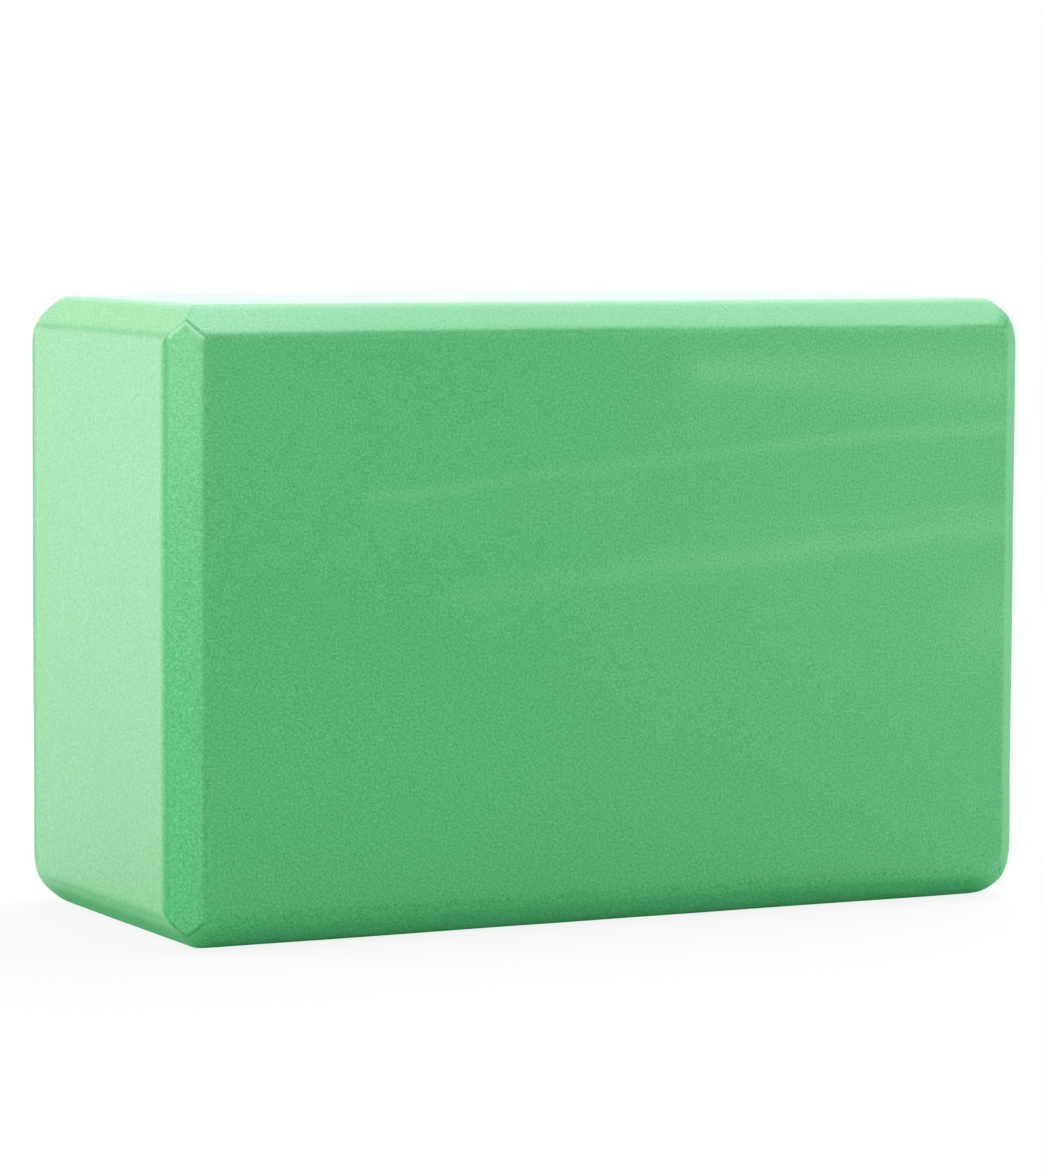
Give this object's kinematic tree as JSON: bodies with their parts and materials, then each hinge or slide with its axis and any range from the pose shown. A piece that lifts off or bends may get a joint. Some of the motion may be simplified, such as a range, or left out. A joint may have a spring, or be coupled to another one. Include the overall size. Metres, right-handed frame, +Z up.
{
  "type": "yoga block",
  "caption": "Firm rectangular closed-cell foam block with bevelled edges, stood on any of its sides as a prop for yoga, pilates and stretching.",
  "frame": {"origin": "middle of the long narrow side that the block stands on, on the floor", "axes": "+X along the block's length, +Y through its depth towards the back, +Z up"},
  "size_m": [0.23, 0.1, 0.15],
  "materials": {
    "eva_foam": "matte closed-cell EVA foam, dyed through in mid green, with fine open cells on the cut faces"
  },
  "bodies": {
    "root": {"foam_block": "eva_foam"}
  },
  "joints": []
}
